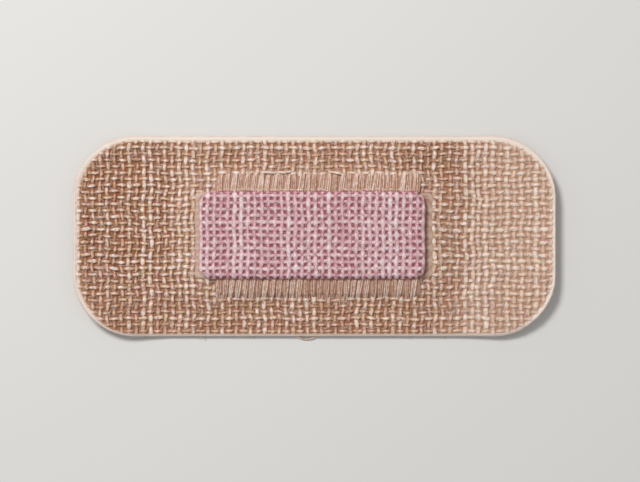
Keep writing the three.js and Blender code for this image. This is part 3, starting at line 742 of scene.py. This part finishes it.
# The ends draw together, and each filament and bundle wanders a little
gather = add(threads, "ShaderNodeMapRange", {"Value": done, "From Min": 0.4, "From Max": 0.95, "To Min": 0.0,
                                             "To Max": -0.25}, interpolation_type="SMOOTHSTEP")
gather = add(threads, "ShaderNodeMath", {0: gather, 1: aside}, operation="MULTIPLY")
gather = add(threads, "ShaderNodeMath", {0: gather, 1: given["Pitch"]}, operation="MULTIPLY")
leaning = add(threads, "ShaderNodeMath", {0: leaning, 1: given["Lean"]}, operation="MULTIPLY")
apart = add(threads, "ShaderNodeMath", {0: own, 1: 2.3}, operation="MULTIPLY")
spot = add(threads, "ShaderNodeCombineXYZ", {"X": apart, "Y": here["Y"], "Z": seeded})
drift = add(threads, "ShaderNodeTexNoise", {"Vector": spot, "Scale": 0.35, "Detail": 0.0})
drift = add(threads, "ShaderNodeMapRange", {
    "Value": drift, "From Min": 0.25, "From Max": 0.75, "To Min": -0.03, "To Max": 0.03}, clamp=False)
new_x = add(threads, "ShaderNodeMath", {0: here["Y"], 1: leaning, 2: here["X"]}, operation="MULTIPLY_ADD")
new_x = add(threads, "ShaderNodeMath", {0: new_x, 1: drift}, operation="ADD")
new_x = add(threads, "ShaderNodeMath", {0: new_x, 1: gather}, operation="ADD")
new_y = add(threads, "ShaderNodeMath", {0: here["Y"], 1: reach}, operation="MULTIPLY")
moved = add(threads, "ShaderNodeCombineXYZ", {"X": new_x, "Y": new_y, "Z": rise})
strokes = add(threads, "GeometryNodeSetPosition", {"Geometry": strokes, "Position": moved})
strokes = add(threads, "GeometryNodeStoreNamedAttribute", {
    "Geometry": strokes, "Name": "line", "Value": new_x})
ring = add(threads, "GeometryNodeCurvePrimitiveCircle", {"Resolution": 6, "Radius": given["Radius"]})
band = {"Curve": strokes, "Profile Curve": ring, "Scale": size, "Fill Caps": True}
band = add(threads, "GeometryNodeCurveToMesh", band)
beside = add(threads, "ShaderNodeMath", {0: here["X"], 1: axis}, operation="SUBTRACT")
near = add(threads, "ShaderNodeMath", {0: own, 1: 0.5}, operation="MULTIPLY")
fibre = add(threads, "ShaderNodeCombineXYZ", {"X": here["Y"], "Y": beside, "Z": near})
tone = add(threads, "ShaderNodeMath", {0: tone, 1: shared}, operation="ADD")
for name, value, kind in (("fibre", fibre, "FLOAT_VECTOR"), ("tone", tone, "FLOAT")):
    band = add(threads, "GeometryNodeStoreNamedAttribute", {
        "Geometry": band, "Name": name, "Value": value}, data_type=kind)
band = add(threads, "GeometryNodeSetShadeSmooth", {"Geometry": band})
band = add(threads, "GeometryNodeRealizeInstances", {"Geometry": band})
band = add(threads, "GeometryNodeSetMaterial", {"Geometry": band, "Material": given["Yarn"]})
add(threads, "NodeGroupOutput", {"Band": band})


def beside_pad(piece, start_y, side, height, flat=None):
    """Puts a band at the pad's upper or lower hem, lying down from the hem onto the bed and the cloth."""
    points = points_of(piece) if flat is None else flat
    x = BANDS_X + points[:, 0] * side
    y = start_y + points[:, 1] * side
    down = smoothstep(points[:, 1], 0.4, 2.4)
    z = height + points[:, 2] + 0.28 * (1 - down) - 0.5 * smoothstep(points[:, 1], 1.8, 2.6)
    # A fixed crest: the filaments take an even share of the yarn material's painted light and shade.
    return set_points(piece, np.stack([x, y, z], 1), crest=np.full(len(x), 0.8))


UPPER_HEM, LOWER_HEM, BAND_HEIGHT, LINT_HEIGHT, LINT_LENGTH = 5.42, -5.27, 1.03, 0.96, 25.5
# Undyed cotton filaments: cream with a silky sheen, brown in the gaps between them
# Its soaked colour darkens the filaments a little all over as painted shade, and its light colour gives the
# cross threads a faint painted highlight.
cream = spun("Cream cotton filament", "C89C86", "EACAB8", "FDF0E6", "F0DCCA", "CA9E88",
             variety=0.65, hue=0.4, painted_highlight=0.3, furrows=0.15, sheen=0.3, strand=0.4)
bundled = {"bundles": 30, "pitch": 0.84, "filaments": 3, "radius": 0.1, "lean": 0.13, "yarn": cream}
upper = grown("upper_threads", threads, length=2.75, seed=2, **bundled)
lower = grown("lower_threads", threads, length=2.65, seed=4, **bundled)
beside_pad(upper, UPPER_HEM, 1, BAND_HEIGHT)
beside_pad(lower, LOWER_HEM, -1, BAND_HEIGHT)

# Under the filaments the bands have a felted layer of the same fibres, soaked brown by the adhesive
felt = lumpy("Adhesive-soaked lint", "9E6E58", "CCA48E", {
    "Scale": 1200.0, "Detail": 3.0}, (0.5, 0.00005), {"Roughness": 0.9})
upper_lint = skin("upper_lint", LINT_LENGTH, 2.6, 0.3, 0.05, 9, 61)
lower_lint = skin("lower_lint", LINT_LENGTH, 2.5, 0.3, 0.05, 9, 61)
for piece, start_y, side in ((upper_lint, UPPER_HEM - 0.12, 1), (lower_lint, LOWER_HEM + 0.12, -1)):
    points = points_of(piece)
    points[:, 1] += 1.25
    points[:, 0] += side * 0.12 * points[:, 1]
    beside_pad(piece, start_y, side, LINT_HEIGHT, flat=points)
    piece.data.materials.append(felt)
for piece, node in ((upper, "upper_thread_band"), (upper_lint, "upper_thread_band"),
                    (lower, "lower_thread_band"), (lower_lint, "lower_thread_band")):
    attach(piece, "root")
    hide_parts(node)


# Short threads, held by the adhesive: along the upper hem, at the far end of the upper band, and over the
# pad's frayed lower left corner. They are ends of the facing's yarns, pulled out when the facing was cut.
chance = np.random.default_rng(23)
for number, (start, end, radius, node) in enumerate((
        ((-11.6, 5.85), (2.0, 5.8), 0.075, "upper_thread_band"),
        ((3.2, 5.8), (12.4, 5.85), 0.075, "upper_thread_band"),
        ((-6.5, 7.95), (-4.9, 7.9), 0.13, "upper_thread_band"),
        ((-4.5, 7.95), (-3.0, 8.0), 0.13, "upper_thread_band"),
        ((2.0, 7.95), (3.4, 7.9), 0.13, "upper_thread_band"),
        ((-14.25, -4.35), (-12.75, -4.75), 0.11, "lower_thread_band"),
        ((-14.1, -4.75), (-12.9, -4.95), 0.11, "lower_thread_band"))):
    start, end = np.array(start), np.array(end)
    steps = max(4, round(float(np.hypot(*(end - start))) / 0.42))
    path = []
    for k in range(steps + 1):
        x, y = start + (end - start) * k / steps
        on_pad = beyond(x - PAD_X, y - PAD_Y, PAD_LENGTH, PAD_WIDTH, PAD_CORNER)
        # On the pad the thread lies higher, and on the hem a little; it goes over and under, and its ends dip
        z = 1.02 + 1.0 * float(1 - smoothstep(on_pad, -0.7, 0.15)) + (0.26 if 5.3 < abs(y) < 6.5 else 0)
        z = z + (0.06 if k % 2 else -0.06) - (0.2 if k in (0, steps) else 0)
        path.append((x, y + 0.05 * chance.standard_normal(), z))
    piece = strand(f"cross_thread_{number + 1}", path, radius, cream if y > 0 else pink)
    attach(piece, "root")
    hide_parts(node)


# The pad's own stray fibres: shorter and fewer than the cloth's, standing out of the pink facing.
# With them the facing is complete: one sheet, folded over the wadding, its warp running on past the hems.
pad_fuzz = grown("pad_fuzz", hairs, length=27.0, width=10.0, corner=0.5, per_square_millimetre=1.5,
                 hair=0.018, seed=37, yarn=fine)
over_pad(pad_fuzz, flat=points_of(pad_fuzz) + (0, 0, 0.07))
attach(pad_fuzz, "root")
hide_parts("pad_gauze")


# The studio: a plain pale floor, a soft lamp at the upper left, a pale world, and the camera straight above.
floor = put("floor", bpy.data.meshes.new("floor"))
floor.data.from_pydata([(-1, -1, 0), (1, -1, 0), (1, 1, 0), (-1, 1, 0)], [], [(0, 1, 2, 3)])
# Painted board: plain, pale and matt
paint, nodes, shader = blank("Matt pale studio board")
fill(nodes, shader, {"Base Color": linear("E4E2DF"), "Roughness": 0.9})
floor.data.materials.append(paint)

world = bpy.data.worlds.new("Soft studio air")
bpy.context.scene.world = world
world.use_nodes = True
fill(world.node_tree, world.node_tree.nodes["Background"], {"Color": (1, 1, 1, 1), "Strength": 0.4})

lamp = bpy.data.lights.new("Soft lamp", "AREA")
lamp.shape, lamp.size, lamp.energy = "DISK", 0.12, 1.03
key = put("Soft lamp", lamp)
key.location = (-0.15, 0.2, 0.3)
key.rotation_mode = "QUATERNION"
key.rotation_quaternion = (-key.location).to_track_quat("-Z", "Y")

camera = put("Camera", bpy.data.cameras.new("Camera"))
camera.data.sensor_width, camera.data.lens = 36, 100
camera.data.clip_start, camera.data.clip_end = 0.01, 10
camera.location = (0.000656, -0.000594, 0.2227)
bpy.context.scene.camera = camera
bpy.context.scene.view_settings.view_transform = "Standard"
